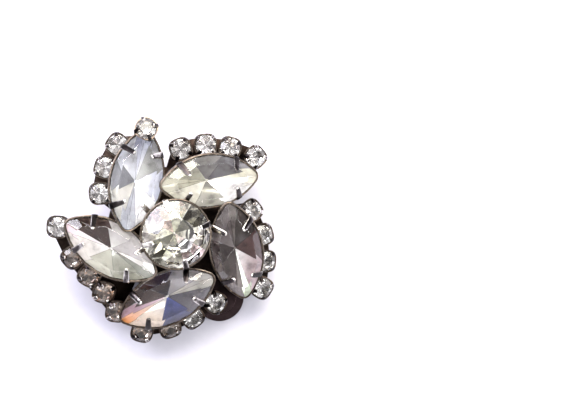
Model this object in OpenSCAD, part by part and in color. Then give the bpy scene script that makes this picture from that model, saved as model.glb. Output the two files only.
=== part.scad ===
// Clip-on earring: a round stone in a pinwheel of five navette stones, edged with small round stones.
// It lies on its back, with the clip lever's outer face flat on z = 0. Millimetres, +Z up.

/* [Stones] */
// Length of a navette stone
navette_len = 15; // [14.6:0.1:15.2]
// Width of a navette stone
navette_w = 7.6; // [7.4:0.1:7.6]
// Width of the round centre stone
centre_d = 10; // [9.6:0.1:10.2]
// Width of a small round stone
small_d = 3; // [2.9:0.1:3.1]
// Height of the centre stone's girdle over the back of the setting
centre_rise = 7.6; // [7.4:0.1:8.2]
// Height of a navette stone's girdle at its middle
navette_rise = 5.4; // [5.3:0.1:5.6]
// Angle by which a navette stone slopes down to its outer point
navette_droop = 12; // [10:1:14]
// Height of the small stones' girdles
small_rise = 2.4; // [2.3:0.1:2.5]
// Angle by which the small stones lean outward
small_lean = 8; // [0:1:10]

/* [Setting] */
// Wall of the stone cups
cup_wall = 0.3; // [0.25:0.05:0.4]
// Gap between a stone and the metal around it
stone_gap = 0.08; // [0.06:0.01:0.1]
// Width of a claw on a large stone
claw_w = 1; // [0.7:0.1:1]
// Thickness of a claw on a large stone
claw_t = 0.32; // [0.25:0.01:0.4]
// Width of a prong on a small stone
prong_w = 0.6; // [0.5:0.05:0.7]
// Thickness of the plate behind the cups
plate_t = 0.65; // [0.6:0.05:0.7]
// Radius of the posts that stand on it under the navettes' cups
post_r = 0.5; // [0.45:0.05:0.6]

/* [Clip] */
// Height of the setting's back over the surface, under the centre
back_height = 4.2; // [4.1:0.1:5]
// Angle between the lever and the setting's back
face_lean = 9.3; // [8:0.1:10]
// Bearing of the lever's rounded end
lever_bearing = -53; // [-56:1:-50]
// Distance from the centre to the middle of the lever's rounded end
pad_reach = 12.9; // [11.9:0.5:12.9]
// Radius of the lever's rounded end
pad_r = 3.8; // [3.4:0.1:4]
// Thickness of the lever
lever_t = 0.85; // [0.7:0.05:0.85]
// Radius of the hinge pin
pin_r = 0.45; // [0.4:0.01:0.47]

/* [Hidden] */
ROWS = [1, 2, 3, 4, 5];

// One line for each arm: how far out and on what bearing its navette stone sits, where that stone's
// outer point aims and how much more it droops, then its row of small stones on an arc: reach, first angle,
// step and how the step tightens, how the reach grows, number of stones, and where the stone at the outer
// point sits along and across the navette, how much it is raised, how far it leans outward and its turn.
//   out  bearing  aim  droop reach  first  step tighten  grow   n  along across  raise  lean  turn
ARMS = [
    [9.7,   126,   78,   0,  10.8,    24,  -20.5,   0,   0.12,   3,   7.9,   0.4,  3.65,   25,   45],
    [9.4,    56,    5,   0,  11.35,   20,  -19,     0,   0.08,   3,   7.6,   2.7,   0.3,   12,    0],
    [9.9,   -16,  -77,   0,  11.1,    16,  -21,     0,   0.05,   3,   6.9,   3.0,   0.3,   12,    0],
    [9.9,   -95, -154,  -4,  11.2,     7,  -19,     0,   0.35,   3,   5.4,   3.5,     0,    8,    0],
    [9.75, -166,  150,   0,  11.1,  19.8,  -21,   2.2,   0.49,   4,   8.0,   1.3, -0.15,    8,    0],
];
function arm_out(i) = ARMS[i - 1][0];
function arm_bearing(i) = ARMS[i - 1][1];
function arm_aim(i) = ARMS[i - 1][2];
function arm_droop(i) = navette_droop + ARMS[i - 1][3];
function row_reach(i) = ARMS[i - 1][4];
function row_first(i) = ARMS[i - 1][5];
function row_step(i) = ARMS[i - 1][6];
function row_tighten(i) = ARMS[i - 1][7];
function row_grow(i) = ARMS[i - 1][8];
function row_count(i) = ARMS[i - 1][9];
function tip_along(i) = ARMS[i - 1][10];
function tip_across(i) = ARMS[i - 1][11];
function tip_raise(i) = ARMS[i - 1][12];
function tip_lean(i) = ARMS[i - 1][13];
function tip_turn(i) = ARMS[i - 1][14];

big = 60;
girdle = 0.15;            // half the height of a large stone's girdle
small_girdle = 0.12;      // the same on a small stone

// A navette's outline is two long arcs of one radius, joined at its ends by small round tips
lens_tip = 0.9;
lens_steps = 8;
tip_steps = 4;
function lens_radius(len, w, tip) =
    let (reach = len / 2 - tip)
    (reach * reach + w * w / 4 - tip * tip) / (w - 2 * tip);
function lens_offset(len, w, tip) = lens_radius(len, w, tip) - w / 2;
// The angle at which a long arc passes into a tip
function lens_bend(len, w, tip) = atan2(lens_offset(len, w, tip), len / 2 - tip);
function lens_half(len, w, tip, from) =
    let (r = lens_radius(len, w, tip), low = lens_offset(len, w, tip), bend = lens_bend(len, w, tip))
    from * concat(
        [for (k = [0:lens_steps])
            let (a = bend + (180 - 2 * bend) * k / lens_steps)
            [r * cos(a), r * sin(a) - low]],
        [for (k = [1:tip_steps - 1])
            let (a = 180 - bend + 2 * bend * k / tip_steps)
            [tip - len / 2 + tip * cos(a), tip * sin(a)]]
    );
function lens(len, w, tip) = concat(lens_half(len, w, tip, 1), lens_half(len, w, tip, -1));
// How far from the middle a straight edge facing angle a touches that outline
function lens_touch(len, w, tip, a) =
    let (s = abs(sin(a)), c = abs(cos(a)))
    asin(s) < lens_bend(len, w, tip) ? (len / 2 - tip) * c + tip
        : lens_radius(len, w, tip) - lens_offset(len, w, tip) * s;
function ngon(n, r, turn = 0) = [for (k = [0:n - 1]) let (a = turn + 360 * k / n) r * [cos(a), sin(a)]];

// Everything below one ground facet, which faces turn, slopes down outward and passes the girdle at reach
module under_facet(turn, slope, reach, level)
    rotate([0, 0, turn]) translate([reach, 0, level]) rotate([0, slope, 0])
        translate([-big / 2, -big / 2, -big]) cube(big);

// A stone is its outline cut back by facets [turn, slope, reach, level], above and below the girdle
module cut_stone(outline, table, depth, crown, pavilion) {
    hull() intersection() {
        translate([0, 0, -depth]) linear_extrude(depth + table) polygon(outline);
        intersection_for(f = crown) under_facet(f[0], f[1], f[2], f[3]);
        mirror([0, 0, 1]) intersection_for(f = pavilion) under_facet(f[0], f[1], f[2], f[3]);
    }
}

// The facets behind a stone would meet in a point, this much below the small flat that ends them
culet = 0.12;
function point_slope(depth, half_girdle, reach) = atan((depth + culet - half_girdle) / reach);

// Navette stone
navette_table = 1.25;
navette_depth = 2.9;
NAVETTE_CROWN = [[90, 42], [60, 41], [120, 41], [28, 32], [152, 32]];
NAVETTE_BASE = [90, 57, 123, 24, 156];
function navette_touch(a) = lens_touch(navette_len, navette_w, lens_tip, a);
module navette_shape() {
    crown = [for (f = NAVETTE_CROWN, side = [1, -1]) [side * f[0], f[1], navette_touch(f[0]), girdle]];
    base = [for (a = NAVETTE_BASE, side = [1, -1])
        [side * a, point_slope(navette_depth, girdle, navette_touch(a)), navette_touch(a), girdle]];
    cut_stone(lens(navette_len, navette_w, lens_tip), navette_table, navette_depth, crown, base);
}

// Round stones
centre_table = 1.85;
centre_depth = 3.9;
centre_slope = 35;        // of the eight main facets
star_slope = 22;
star_reach = 0.262;       // share of the stone's width at which the star facets meet the table
half_slope = 42;          // of the facets along the girdle
base_half_slope = 41;
module centre_shape() {
    r = centre_d / 2;
    mains = [for (k = [0:7]) [45 * k, centre_slope, r, girdle]];
    stars = [for (k = [0:7]) [45 * k + 22.5, star_slope, star_reach * centre_d, centre_table]];
    halves = [for (k = [0:15]) [22.5 * k + 11.25, half_slope, r, girdle]];
    base = [for (k = [0:7]) [45 * k + 22.5, point_slope(centre_depth, girdle, r), r, girdle]];
    base_halves = [for (k = [0:15]) [22.5 * k + 11.25, base_half_slope, r, girdle]];
    cut_stone(ngon(32, r / cos(5.625)), centre_table, centre_depth, concat(mains, stars, halves),
        concat(base, base_halves));
}
small_table = 0.62;
small_depth = 1.35;
small_slope = 38;
module small_shape() {
    r = small_d / 2;
    mains = [for (k = [0:7]) [45 * k, small_slope, r, small_girdle]];
    base = [for (k = [0:7]) [45 * k + 22.5, point_slope(small_depth, small_girdle, r), r, small_girdle]];
    cut_stone(ngon(16, r), small_table, small_depth, mains, base);
}

// Places, all in the setting's own frame: its back at z = 0 and its face up
centre_turn = 18;         // bearing of the centre stone's first prong
module at_centre() translate([0, 0, centre_rise]) rotate([0, 0, centre_turn]) children();
module at_navette(i) {
    rotate([0, 0, arm_bearing(i)]) translate([arm_out(i), 0, navette_rise])
        rotate([0, 0, arm_aim(i) - arm_bearing(i)]) rotate([0, arm_droop(i), 0]) children();
}
// The outward side of a navette is +y or -y of its own frame, whichever faces away from the centre
function away(i) = sin(arm_bearing(i) - arm_aim(i)) > 0 ? 1 : -1;
row_drop = 6.3;           // how far across the axis the middle of the rows' arcs lies
// Middle of row stone k, and of the stone at the outer point, along and across the navette
function row_angle(i, k) = row_first(i) + (row_step(i) + row_tighten(i) * (k - 1)) * (k - 1);
function row_spot(i, k) =
    let (a = row_angle(i, k), r = row_reach(i) + row_grow(i) * (k - 1) * (k - 1))
    [r * sin(a), away(i) * (r * cos(a) - row_drop)];
function tip_spot(i) = [tip_along(i), away(i) * tip_across(i)];
function row_turn(i, k) = away(i) * (90 - row_angle(i, k));
// The same spots as points of the setting's frame
function turned(p, a) = [p[0] * cos(a) - p[1] * sin(a), p[0] * sin(a) + p[1] * cos(a)];
function arm_point(i, p) = turned([arm_out(i), 0], arm_bearing(i)) + turned(p, arm_aim(i));
function with_z(p, z) = [p[0], p[1], z];
function tip_bearing(i) = let (p = arm_point(i, tip_spot(i))) atan2(p[1], p[0]);
module at_row(i, k) {
    translate(with_z(arm_point(i, row_spot(i, k)), small_rise)) rotate([0, 0, arm_aim(i) + row_turn(i, k)])
        rotate([0, small_lean, 0]) children();
}
module at_tip(i) {
    translate(with_z(arm_point(i, tip_spot(i)), small_rise + tip_raise(i))) rotate([0, 0, tip_bearing(i)])
        rotate([0, tip_lean(i), 0]) rotate([0, 0, tip_turn(i)]) children();
}

// The setting's frame as it lies: the back leans down toward the lever's rounded end
module as_it_lies() {
    translate([0, 0, back_height]) rotate([0, 0, lever_bearing]) rotate([0, face_lean, 0])
        rotate([0, 0, -lever_bearing]) children();
}

// Stones
module centre_stone() color("gainsboro") as_it_lies() at_centre() centre_shape();
module navette(i) color("lightgray") as_it_lies() at_navette(i) navette_shape();
module tip_stone(i) color("whitesmoke") as_it_lies() at_tip(i) small_shape();
module row_stone(i, k) color("whitesmoke") as_it_lies() at_row(i, k) small_shape();

// A band of metal through rings [outline, height] with equal numbers of points, given in order from the
// outer rim over to the inner rim, down inside and back up outside
module band(rings) {
    n = len(rings[0][0]);
    count = len(rings);
    points = [for (ring = rings, p = ring[0]) with_z(p, ring[1])];
    faces = [for (j = [0:count - 1], k = [0:n - 1])
        let (next = (j + 1) % count, m = (k + 1) % n)
        [j * n + k, next * n + k, next * n + m, j * n + m]];
    polyhedron(points, faces, convexity = 4);
}

claw_seat = 0.1;          // how far a claw's inner face is set into the cup's wall
blunt = [0.5, 0.7];       // how a claw's end is rounded, in shares of its thickness
// A claw stands outside the girdle and folds over a facet of the given slope, facing +x
module claw(reach, low, half_girdle, slope, over, width, thick, seat = claw_seat) {
    inside = reach + stone_gap + seat;
    lift = stone_gap / cos(slope);
    end_z = half_girdle + over * tan(slope) + lift;
    rotate([90, 0, 0]) translate([0, 0, -width / 2]) linear_extrude(width) polygon([
        [inside, -low], [inside + thick, -low], [inside + thick, half_girdle + lift],
        [inside, half_girdle + lift + thick], [reach - over, end_z + thick],
        [reach - over - thick * blunt[0], end_z + thick * blunt[1]], [reach - over, end_z],
        [inside, half_girdle + lift]
    ]);
}

cup_top = 0.05;           // height of a large cup's rim over the middle of the girdle
cup_straight = -0.45;     // height at which a large cup starts to narrow
claw_low = 0.7;           // how far a large claw reaches down the cup's outside
// Cup and claws of one navette
navette_cup_low = 2.35;
cup_narrows = [3.8, 2.7]; // how much shorter and narrower the cup is at its low edge
claw_along = 4.4;         // from the middle of the stone to each claw
claw_over = 1.7;          // how far the claw reaches over the stone
module navette_cup() {
    function ring(narrow_len, narrow_w, wall) =
        lens(navette_len - narrow_len + 2 * wall, navette_w - narrow_w + 2 * wall, lens_tip + wall);
    rim_in = ring(0, 0, stone_gap);
    rim_out = ring(0, 0, stone_gap + cup_wall);
    low_in = ring(cup_narrows[0], cup_narrows[1], stone_gap);
    low_out = ring(cup_narrows[0], cup_narrows[1], stone_gap + cup_wall);
    band([[rim_out, cup_top], [rim_in, cup_top], [rim_in, cup_straight], [low_in, -navette_cup_low],
        [low_out, -navette_cup_low], [rim_out, cup_straight]]);
    r = lens_radius(navette_len, navette_w, lens_tip);
    face = acos(claw_along / r);
    for (end = [0, 180], side = [1, -1])
        rotate([0, 0, end]) translate([0, -side * lens_offset(navette_len, navette_w, lens_tip), 0])
            rotate([0, 0, side * face])
                claw(r, claw_low, girdle, NAVETTE_CROWN[0][1], claw_over, claw_w, claw_t);
}

// Cup, pedestal and prongs of the centre stone
centre_cup_low = 2.6;
centre_narrows = 2.2;
pedestal_r = 2.6;
centre_over = 1.3;
centre_claw_w = claw_w;
pedestal_seat = 0.25;     // how high over the setting's back the pedestal ends, inside the plate
module centre_cup() {
    function ring(r) = ngon(24, r / cos(7.5));
    r = centre_d / 2 + stone_gap;
    low_r = r - centre_narrows;
    band([
        [ring(r + cup_wall), cup_top],
        [ring(r), cup_top],
        [ring(r), cup_straight],
        [ring(low_r), -centre_cup_low],
        [ring(pedestal_r), pedestal_seat - centre_rise],
        [ring(pedestal_r + cup_wall), pedestal_seat - centre_rise],
        [ring(low_r + cup_wall), -centre_cup_low],
        [ring(r + cup_wall), cup_straight]
    ]);
    for (k = [0:3]) rotate([0, 0, 90 * k])
        claw(centre_d / 2, claw_low, girdle, centre_slope, centre_over, centre_claw_w, claw_t);
}

// Small square-cornered cup with a prong at each corner
small_cup_top = 0;
small_cup_low = 2.1;
raised_cup_low = 1.5;     // the same on a tip stone that stands high
small_wall = cup_wall / 2;
small_narrows = 0.4;
cup_corner = 0.5;         // share of each side that is left straight
prong_low = 0.8;          // how far a prong reaches down the cup's outside
prong_over = 0.4;
prong_t = cup_wall * 0.9;
prong_seat = 0.05;
module small_cup(low) {
    inner = small_d / 2 + stone_gap;
    half = inner + small_wall;
    low_half = half - small_narrows;
    function square_ring(h) =
        let (f = h * cup_corner)
        [[h, -f], [h, f], [f, h], [-f, h], [-h, f], [-h, -f], [-f, -h], [f, -h]];
    band([
        [square_ring(half), small_cup_top],
        [ngon(8, inner / cos(22.5), -22.5), small_cup_top],
        [ngon(8, inner - small_narrows, -22.5), -low],
        [square_ring(low_half), -low]
    ]);
    for (k = [0:3]) rotate([0, 0, 45 + 90 * k])
        claw(small_d / 2, prong_low, small_girdle, small_slope, prong_over, prong_w, prong_t, prong_seat);
}

// Plate behind the cups, and the posts that stand on it
plate_low = -0.05;
plate_r = 9.4;            // of its round middle
plate_round = 1;          // how far it runs past the middles of the cups over it
high_tip = 1;             // a tip stone raised more than this stands clear of the plate
module back_plate() {
    translate([0, 0, plate_low]) linear_extrude(plate_t) {
        circle(plate_r, $fn = 48);
        for (i = ROWS) offset(plate_round, $fn = 16) polygon(concat(
            [arm_point(i, [-post_along, 0]), arm_point(i, [post_along, 0])],
            tip_raise(i) > high_tip ? [] : [arm_point(i, tip_spot(i))],
            [for (k = [1:row_count(i)]) arm_point(i, row_spot(i, k))]
        ));
    }
}

post_tilt = [17, 23, 0];  // turns the posts' faces, so that none shares a plane with the plate
module post(a, b) {
    hull() {
        translate(a) rotate(post_tilt) sphere(post_r, $fn = 6);
        translate(b) rotate(post_tilt) sphere(post_r, $fn = 6);
    }
}
post_along = 5.4;         // from the middle of a navette to the posts under its cup
post_low = 0.55;          // height of a post's foot, inside the plate
post_drop = 0.25;         // how far below the cup's low edge a post's end sits
function post_foot(i, end) = with_z(arm_point(i, [end * post_along, 0]), post_low);
function post_head(i, end) =
    with_z(arm_point(i, [end * post_along, 0]),
        navette_rise - navette_cup_low - post_drop - end * post_along * sin(arm_droop(i)));
// A strut holds a high tip stone's cup, from the end of the navette's cup to its own outer lower edge
strut_along = 7.6;
strut_low = 1;
function leaned(x, z, lean) = [x * cos(lean) + z * sin(lean), z * cos(lean) - x * sin(lean)];
function strut_foot(i) =
    let (p = leaned(strut_along, -strut_low, arm_droop(i)))
    with_z(arm_point(i, [p[0], 0]), navette_rise + p[1]);
function strut_head(i) =
    let (p = leaned(small_d / 2 + small_wall - small_narrows, -raised_cup_low, tip_lean(i)))
    with_z(arm_point(i, tip_spot(i)) + turned([p[0], 0], tip_bearing(i)), small_rise + tip_raise(i) + p[1]);
module arm_posts(i) {
    for (end = [-1, 1]) post(post_foot(i, end), post_head(i, end));
    if (tip_raise(i) > high_tip) post(strut_foot(i), strut_head(i));
}

// Bar across the back, to which the clip is soldered
bar_w = 5.4;
bar_t = 0.7;
bar_from = -8;
bar_to = 4;
bar_low = -0.6;
module back_bar() {
    rotate([0, 0, lever_bearing]) translate([bar_from, -bar_w / 2, bar_low])
        cube([bar_to - bar_from, bar_w, bar_t]);
}

module setting() {
    color("silver") as_it_lies() {
        at_centre() centre_cup();
        for (i = ROWS) {
            at_navette(i) navette_cup();
            at_tip(i) small_cup(tip_raise(i) > high_tip ? raised_cup_low : small_cup_low);
            for (k = [1:row_count(i)]) at_row(i, k) small_cup(small_cup_low);
            arm_posts(i);
        }
        back_plate();
        back_bar();
    }
}

// Clip. x runs along the lever, toward its rounded end.
seam = 0.05;              // gap between the bar and the bracket soldered to it
pin_x_on_back = -5;
pin_z = 2.1;              // height of the hinge pin
pin_drop = (back_height - pin_x_on_back * sin(face_lean) - pin_z) / cos(face_lean);
pin_x = pin_x_on_back * cos(face_lean) - pin_drop * sin(face_lean);
bracket_w = 5.2;
bracket_len = 5;
bracket_t = 0.6;
ear_seat = 0.1;           // how far the ears run into the bracket's plate
ear_t = 0.7;
ear_r = 1.05;
lug_t = 0.8;
lug_r = 1.15;
side_gap = 0.15;
lever_w = bracket_w + 2 * (side_gap + lug_t);
pin_clear = 0.05;         // running clearance in the lever
pin_seat = 0.01;          // clearance in the ears
head_t = 0.3;             // heads at the pin's ends
head_out = 0.3;
module along_pin(r, len) rotate([90, 0, 0]) cylinder(h = len, r = r, center = true, $fn = 32);

module clip_bracket() {
    color("darkgray") as_it_lies() rotate([0, 0, lever_bearing]) difference() {
        union() {
            translate([pin_x_on_back - bracket_len / 2, -bracket_w / 2, bar_low - seam - bracket_t])
                cube([bracket_len, bracket_w, bracket_t]);
            for (side = [-1, 1]) translate([pin_x_on_back, side * (bracket_w - ear_t) / 2, 0]) {
                translate([0, 0, -pin_drop]) along_pin(ear_r, ear_t);
                translate([-ear_r, -ear_t / 2, -pin_drop])
                    cube([2 * ear_r, ear_t, pin_drop + bar_low - seam - bracket_t + ear_seat]);
            }
        }
        translate([pin_x_on_back, 0, -pin_drop]) along_pin(pin_r + pin_seat, bracket_w + 2);
    }
}

module hinge_pin() {
    color("gray") rotate([0, 0, lever_bearing]) translate([pin_x, 0, pin_z]) {
        along_pin(pin_r, lever_w + 2 * (seam + head_t));
        for (side = [-1, 1]) translate([0, side * (lever_w / 2 + seam + head_t / 2), 0])
            along_pin(pin_r + head_out, head_t);
    }
}

neck_w = 6;
cushion_r = 2.6;
cushion_t = 0.45;
plate_lead = 0.3;         // how far the lever's plate starts behind the pin
module clip_lever() {
    color("rosybrown") rotate([0, 0, lever_bearing]) difference() {
        union() {
            linear_extrude(lever_t) {
                translate([pad_reach, 0]) circle(pad_r, $fn = 64);
                translate([pin_x, -neck_w / 2]) square([pad_reach - pin_x, neck_w]);
                translate([pin_x - plate_lead, -lever_w / 2]) square([lever_w / 2, lever_w]);
            }
            translate([pad_reach, 0, 0]) cylinder(h = lever_t + cushion_t, r = cushion_r, $fn = 48);
            for (side = [-1, 1]) translate([pin_x, side * (lever_w - lug_t) / 2, 0]) {
                translate([0, 0, pin_z]) along_pin(lug_r, lug_t);
                translate([-lug_r, -lug_t / 2, 0]) cube([2 * lug_r, lug_t, pin_z]);
            }
        }
        translate([pin_x, 0, pin_z]) along_pin(pin_r + pin_clear, lever_w + 2);
    }
}

setting();
centre_stone();
for (i = ROWS) {
    navette(i);
    tip_stone(i);
    for (k = [1:row_count(i)]) row_stone(i, k);
}
clip_bracket();
hinge_pin();
clip_lever();
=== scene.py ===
"""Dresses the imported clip-on earring: its foiled stones, its soldered setting and its clip.

Sizes are in millimetres up to the point where a mesh is built. Every mesh is in metres, in the
part's own frame.
"""

import logging
import math
from dataclasses import dataclass
from enum import Enum
from typing import Any, Iterable, Sequence

import bmesh
import bpy
from bmesh.types import BMesh
from bpy.types import ID, Material, Mesh, Node, NodeSocket, NodeTree, Object
from mathutils import Matrix, Vector


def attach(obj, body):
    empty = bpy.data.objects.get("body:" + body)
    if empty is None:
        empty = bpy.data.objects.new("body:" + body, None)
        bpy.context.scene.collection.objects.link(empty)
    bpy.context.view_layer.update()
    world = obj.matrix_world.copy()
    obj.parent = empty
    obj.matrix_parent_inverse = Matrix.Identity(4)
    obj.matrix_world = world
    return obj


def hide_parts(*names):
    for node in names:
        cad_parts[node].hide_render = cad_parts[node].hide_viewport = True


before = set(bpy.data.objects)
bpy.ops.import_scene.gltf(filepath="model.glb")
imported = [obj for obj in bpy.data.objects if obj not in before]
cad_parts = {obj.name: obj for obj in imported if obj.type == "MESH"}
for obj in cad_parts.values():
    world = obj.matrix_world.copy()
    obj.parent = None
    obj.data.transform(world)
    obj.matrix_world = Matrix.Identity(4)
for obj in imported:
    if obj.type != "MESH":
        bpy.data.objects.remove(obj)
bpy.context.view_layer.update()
LOG = logging.getLogger("earring")

MM = 0.001
SAME_POINT_M = 1e-7
SAME_PLANE_DEG = 0.5
STONE_GAP = 0.08
GIRDLE_HALF = 0.15
SMALL_GIRDLE_HALF = 0.12
QUARTERS = (0, 90, 180, 270)

Spot = tuple[float, float]
Span = tuple[float, float]
Point = tuple[float, float, float]
Outline = list[Spot]
Stop = tuple[float, str]


# Small helpers for numbers, nodes and meshes


def spin(axis: str, degrees: float) -> Matrix:
    """A turn about one axis, in degrees."""
    return Matrix.Rotation(math.radians(degrees), 4, axis)


def shift(x: float, y: float, z: float) -> Matrix:
    """A move, in millimetres."""
    return Matrix.Translation((x, y, z))


def turned(x: float, y: float, degrees: float) -> Spot:
    """The point x, y turned about the origin."""
    a = math.radians(degrees)
    return x * math.cos(a) - y * math.sin(a), x * math.sin(a) + y * math.cos(a)


def steps_round(count: int) -> list[float]:
    """The angles of this many even steps round a circle, in radians."""
    return [2 * math.pi * k / count for k in range(count)]


def linear(hex_colour: str) -> tuple[float, float, float, float]:
    """Turns an sRGB hex colour into the linear colour that the shaders use.

    Args:
        hex_colour: six hex digits after a #.

    Returns:
        Red, green, blue and an alpha of 1.
    """
    parts = [int(hex_colour[i : i + 2], 16) / 255 for i in (1, 3, 5)]
    r, g, b = (p / 12.92 if p <= 0.04045 else ((p + 0.055) / 1.055) ** 2.4 for p in parts)
    return r, g, b, 1.0


def feed(tree: NodeTree, node: Node, inputs: dict[str | int, Any]) -> None:
    """Fills a node's inputs: an output socket is linked, and anything else is set as the value.

    Args:
        tree: the shader or geometry tree.
        node: the node.
        inputs: what each input gets, by its name or number.
    """
    for key, value in inputs.items():
        if isinstance(value, NodeSocket):
            tree.links.new(value, node.inputs[key])
        else:
            node.inputs[key].default_value = value


def add_node(
    tree: NodeTree,
    kind: str,
    out: str | int | None = None,
    inputs: dict[str | int, Any] | None = None,
    stops: Sequence[Stop] = (),
    **settings: Any,
) -> NodeSocket | None:
    """Adds one node with its settings and what feeds it.

    Args:
        tree: the shader or geometry tree.
        kind: the node's type name.
        out: the output that is wanted, by its name or number.
        inputs: what each input gets, by its name or number.
        stops: the places and hex colours of a colour ramp, in order.
        settings: the node's own properties.

    Returns:
        The wanted output, or None where none is asked for.
    """
    node = tree.nodes.new(kind)
    for name, value in settings.items():
        setattr(node, name, value)
    feed(tree, node, inputs or {})
    if stops:
        marks = node.color_ramp.elements
        marks[0].position, marks[1].position = stops[0][0], stops[-1][0]
        for place, _ in stops[1:-1]:
            marks.new(place)
        for mark, (_, colour) in zip(marks, stops):
            mark.color = linear(colour)
    return None if out is None else node.outputs[out]


def in_scene(data: ID, name: str) -> Object:
    """Puts a mesh, a light or a camera into the scene.

    Args:
        data: the mesh, light or camera.
        name: the new object's name.

    Returns:
        The object, at the origin.
    """
    holder = bpy.data.objects.new(name, data)
    bpy.context.scene.collection.objects.link(holder)
    return holder


def merged_solid(node: str) -> BMesh:
    """Copies a solid's loose triangles and merges them into its flat faces.

    Args:
        node: the solid's name.

    Returns:
        The shell, in metres, with its faces outward.
    """
    bm = bmesh.new()
    bm.from_mesh(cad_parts[node].data)
    bmesh.ops.remove_doubles(bm, verts=bm.verts, dist=SAME_POINT_M)
    flat = math.radians(SAME_PLANE_DEG)
    bmesh.ops.dissolve_limit(bm, angle_limit=flat, verts=bm.verts, edges=bm.edges)
    bmesh.ops.recalc_face_normals(bm, faces=bm.faces)
    return bm


def loft(rings: Sequence[Sequence[Vector]], around: bool) -> BMesh:
    """Joins rings of equal numbers of points with a skin.

    Args:
        rings: the rings in order.
        around: whether the last ring joins the first again, and otherwise both ends are capped.

    Returns:
        The closed shell, in the rings' units, with its faces outward.
    """
    bm = bmesh.new()
    rows = [[bm.verts.new(p) for p in ring] for ring in rings]
    n = len(rows[0])
    for low, high in zip(rows, rows[1:] + (rows[:1] if around else [])):
        for k in range(n):
            bm.faces.new((low[k], low[(k + 1) % n], high[(k + 1) % n], high[k]))
    if not around:
        bm.faces.new(rows[0][::-1])
        bm.faces.new(rows[-1])
    bmesh.ops.recalc_face_normals(bm, faces=bm.faces)
    return bm


def mesh_from(bm: BMesh, name: str, scale: float = MM, sharp: float = 0) -> Mesh:
    """Turns a shell, which is used up, into a mesh.

    Args:
        bm: the shell.
        name: the mesh's name.
        scale: from the shell's unit to the mesh's.
        sharp: the angle in degrees past which an edge of a smooth shell shows sharp, or 0 for
            a shell whose shading stays as it is.

    Returns:
        The mesh.
    """
    if sharp:
        for face in bm.faces:
            face.smooth = True
        for edge in bm.edges:
            edge.smooth = edge.calc_face_angle(0) < math.radians(sharp)
    bmesh.ops.scale(bm, vec=(scale, scale, scale), verts=bm.verts)
    mesh = bpy.data.meshes.new(name)
    bm.to_mesh(mesh)
    bm.free()
    return mesh


# Finishes


class Finish:
    """What every finish shares: a named node material with one Principled shader."""

    name: str

    def material(self) -> Material:
        """Makes the finish's material on its first use.

        Returns:
            The material.
        """
        made = bpy.data.materials.get(self.name)
        if made is None:
            made = bpy.data.materials.new(self.name)
            made.use_nodes = True
            tree = made.node_tree
            place = add_node(tree, "ShaderNodeTexCoord", "Object")
            feed(tree, tree.nodes["Principled BSDF"], self.look(tree, place))
        return made

    def look(self, tree: NodeTree, place: NodeSocket) -> dict[str, Any]:
        """Adds the finish's own nodes. Each finish has its own way.

        Args:
            tree: the material's tree.
            place: its Object coordinates.

        Returns:
            What each of the shader's inputs gets.
        """
        raise NotImplementedError


@dataclass(frozen=True)
class PolishedCrystal(Finish):
    """Machine-cut lead crystal, polished: clear, hard-edged, with the lightest haze of handling."""

    name: str = "polished_lead_crystal"
    tints: tuple[Stop, ...] = ((0.3, "#ffffff"), (0.7, "#f9f9f7"))
    ior: float = 1.56
    haze: Span = (0.0, 0.035)
    smear_mm: float = 2.5
    hazed_at: Span = (0.45, 0.75)

    def look(self, tree: NodeTree, place: NodeSocket) -> dict[str, Any]:
        """Clear glass whose roughness drifts a little, as fingermarks leave it.

        Args:
            tree: the material's tree.
            place: its Object coordinates.

        Returns:
            What each of the shader's inputs gets.
        """
        smear = add_node(tree, "ShaderNodeTexNoise", "Fac", {
            "Vector": place, "Scale": 1 / (self.smear_mm * MM), "Detail": 2.0,
        })
        rough = add_node(tree, "ShaderNodeMapRange", "Result", {
            "Value": smear, "From Min": self.hazed_at[0], "From Max": self.hazed_at[1],
            "To Min": self.haze[0], "To Max": self.haze[1],
        })
        colour = add_node(tree, "ShaderNodeValToRGB", "Color", {"Fac": smear}, self.tints)
        return {
            "Base Color": colour, "Roughness": rough, "Transmission Weight": 1.0, "IOR": self.ior
        }


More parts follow.
